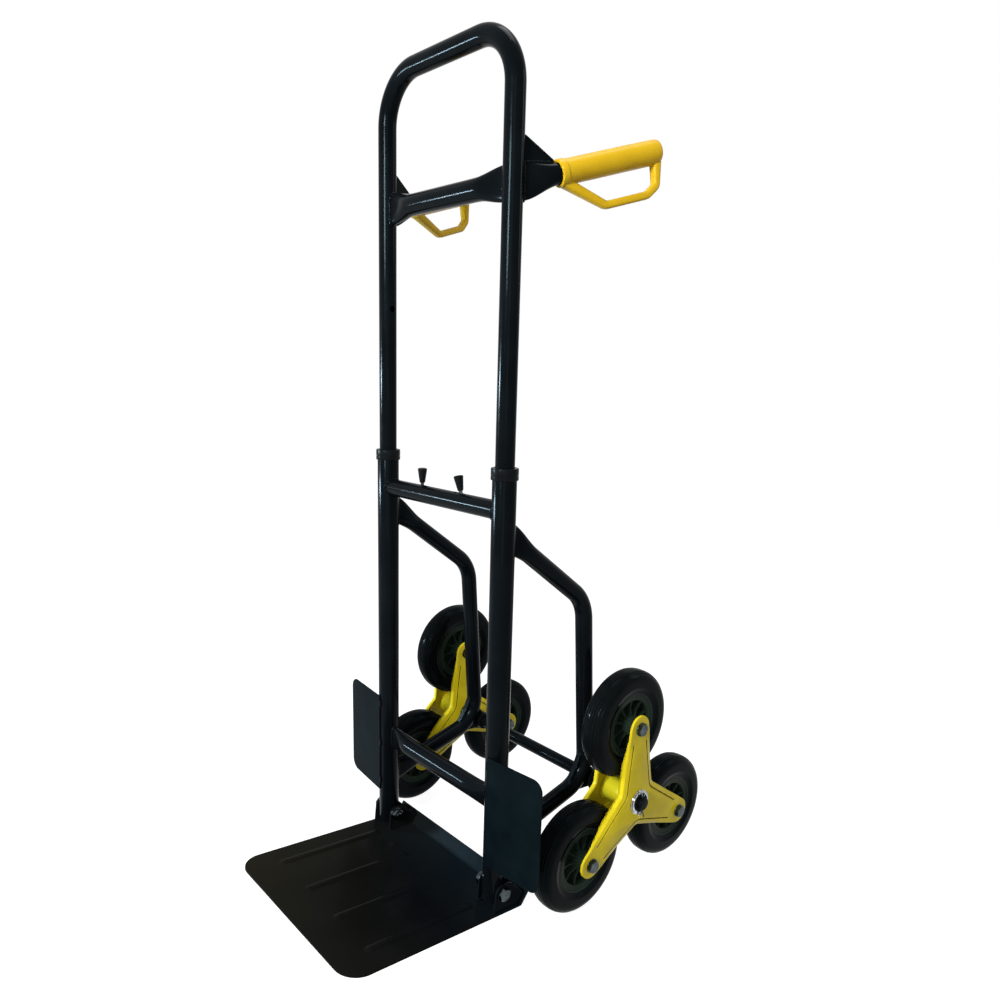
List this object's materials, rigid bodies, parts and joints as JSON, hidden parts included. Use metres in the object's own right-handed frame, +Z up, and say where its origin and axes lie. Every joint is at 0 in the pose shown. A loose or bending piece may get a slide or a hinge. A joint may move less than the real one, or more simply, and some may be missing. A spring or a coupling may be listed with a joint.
{
  "type": "stair climbing hand truck",
  "caption": "Folding steel hand truck with a telescopic loop handle, a hinged toe plate, side handles with finger guards and clusters of wheels that roll up stairs.",
  "frame": {"origin": "on the floor under the toe plate, in the middle plane, straight below the toe plate's hinge axis", "axes": "+X to the right of someone facing the toe plate from the front, +Y back from the load towards the wheels and the user, +Z up"},
  "size_m": [0.475, 0.6207, 1.141],
  "materials": {
    "black_paint": "gloss black powder coat on steel tube and sheet",
    "yellow_paint": "gloss lemon yellow paint on pressed steel",
    "yellow_plastic": "satin warm yellow moulded plastic",
    "black_plastic": "satin black moulded plastic",
    "rim_plastic": "dark green black moulded plastic",
    "tyre_rubber": "solid black rubber with ribs round the tread",
    "zinc": "bright zinc plated steel",
    "chrome": "bright plated steel",
    "black_steel": "blackened steel bar"
  },
  "bodies": {
    "frame": {"upright_left": "black_paint", "collar_left": "black_plastic", "rear_tube_left": "black_paint", "side_wing_left": "black_paint", "axle_washer_inner_left": "zinc", "axle_washer_outer_left": "chrome", "cotter_pin_left": "zinc", "toe_pivot_bolt_left": "zinc", "toe_pivot_nut_left": "zinc", "toe_pivot_spacer_left": "black_paint", "latch_bush_left": "black_plastic", "upright_right": "black_paint", "collar_right": "black_plastic", "rear_tube_right": "black_paint", "side_wing_right": "black_paint", "axle_washer_inner_right": "zinc", "axle_washer_outer_right": "chrome", "cotter_pin_right": "zinc", "toe_pivot_bolt_right": "zinc", "toe_pivot_nut_right": "zinc", "toe_pivot_spacer_right": "black_paint", "latch_bush_right": "black_plastic", "upper_cross_tube": "black_paint", "lower_cross_tube": "black_paint", "axle": "black_steel"},
    "handle": {"handle_loop": "black_paint", "handle_brace": "black_paint", "handle_arm_left": "black_paint", "gusset_left": "black_paint", "grip_left": "yellow_plastic", "handle_arm_right": "black_paint", "gusset_right": "black_paint", "grip_right": "yellow_plastic"},
    "toe_plate": {"toe_plate": "black_paint"},
    "latch_left": {"latch_pin_left": "zinc", "latch_knob_left": "black_plastic"},
    "latch_right": {"latch_pin_right": "zinc", "latch_knob_right": "black_plastic"},
    "cluster_left": {"star_inner_left": "yellow_paint", "star_outer_left": "yellow_paint", "wheel_bolt_left_1": "zinc", "wheel_bolt_left_2": "zinc", "wheel_bolt_left_3": "zinc"},
    "wheel_left_1": {"tyre_left_1": "tyre_rubber", "rim_left_1": "rim_plastic"},
    "wheel_left_2": {"tyre_left_2": "tyre_rubber", "rim_left_2": "rim_plastic"},
    "wheel_left_3": {"tyre_left_3": "tyre_rubber", "rim_left_3": "rim_plastic"},
    "cluster_right": {"star_inner_right": "yellow_paint", "star_outer_right": "yellow_paint", "wheel_bolt_right_1": "zinc", "wheel_bolt_right_2": "zinc", "wheel_bolt_right_3": "zinc"},
    "wheel_right_1": {"tyre_right_1": "tyre_rubber", "rim_right_1": "rim_plastic"},
    "wheel_right_2": {"tyre_right_2": "tyre_rubber", "rim_right_2": "rim_plastic"},
    "wheel_right_3": {"tyre_right_3": "tyre_rubber", "rim_right_3": "rim_plastic"}
  },
  "joints": [
    {"name": "handle_slide", "type": "slide", "parent": "frame", "child": "handle", "axis": [0, 0.0958, -0.9954], "range_m": [0, 0.259]},
    {"name": "toe_plate_fold", "type": "hinge", "parent": "frame", "child": "toe_plate", "pos_m": [0, 0, 0.0295], "axis": [-1, 0, 0], "range_deg": [0, 84.5]},
    {"name": "latch_left_pull", "type": "slide", "parent": "frame", "child": "latch_left", "axis": [1, 0, 0], "range_m": [0, 0.012], "stiffness_N_per_m": 400, "springref_m": -0.004},
    {"name": "latch_right_pull", "type": "slide", "parent": "frame", "child": "latch_right", "axis": [-1, 0, 0], "range_m": [0, 0.012], "stiffness_N_per_m": 400, "springref_m": -0.004},
    {"name": "cluster_left_roll", "type": "hinge", "parent": "frame", "child": "cluster_left", "pos_m": [-0.19575, 0.18413, 0.15171], "axis": [1, 0, 0], "continuous": true},
    {"name": "wheel_left_1_spin", "type": "hinge", "parent": "cluster_left", "child": "wheel_left_1", "pos_m": [-0.19575, 0.16737, 0.26609], "axis": [1, 0, 0], "continuous": true},
    {"name": "wheel_left_2_spin", "type": "hinge", "parent": "cluster_left", "child": "wheel_left_2", "pos_m": [-0.19575, 0.09347, 0.08], "axis": [1, 0, 0], "continuous": true},
    {"name": "wheel_left_3_spin", "type": "hinge", "parent": "cluster_left", "child": "wheel_left_3", "pos_m": [-0.19575, 0.29157, 0.10905], "axis": [1, 0, 0], "continuous": true},
    {"name": "cluster_right_roll", "type": "hinge", "parent": "frame", "child": "cluster_right", "pos_m": [0.19575, 0.18413, 0.15171], "axis": [1, 0, 0], "continuous": true},
    {"name": "wheel_right_1_spin", "type": "hinge", "parent": "cluster_right", "child": "wheel_right_1", "pos_m": [0.19575, 0.16737, 0.26609], "axis": [1, 0, 0], "continuous": true},
    {"name": "wheel_right_2_spin", "type": "hinge", "parent": "cluster_right", "child": "wheel_right_2", "pos_m": [0.19575, 0.09347, 0.08], "axis": [1, 0, 0], "continuous": true},
    {"name": "wheel_right_3_spin", "type": "hinge", "parent": "cluster_right", "child": "wheel_right_3", "pos_m": [0.19575, 0.29157, 0.10905], "axis": [1, 0, 0], "continuous": true}
  ]
}
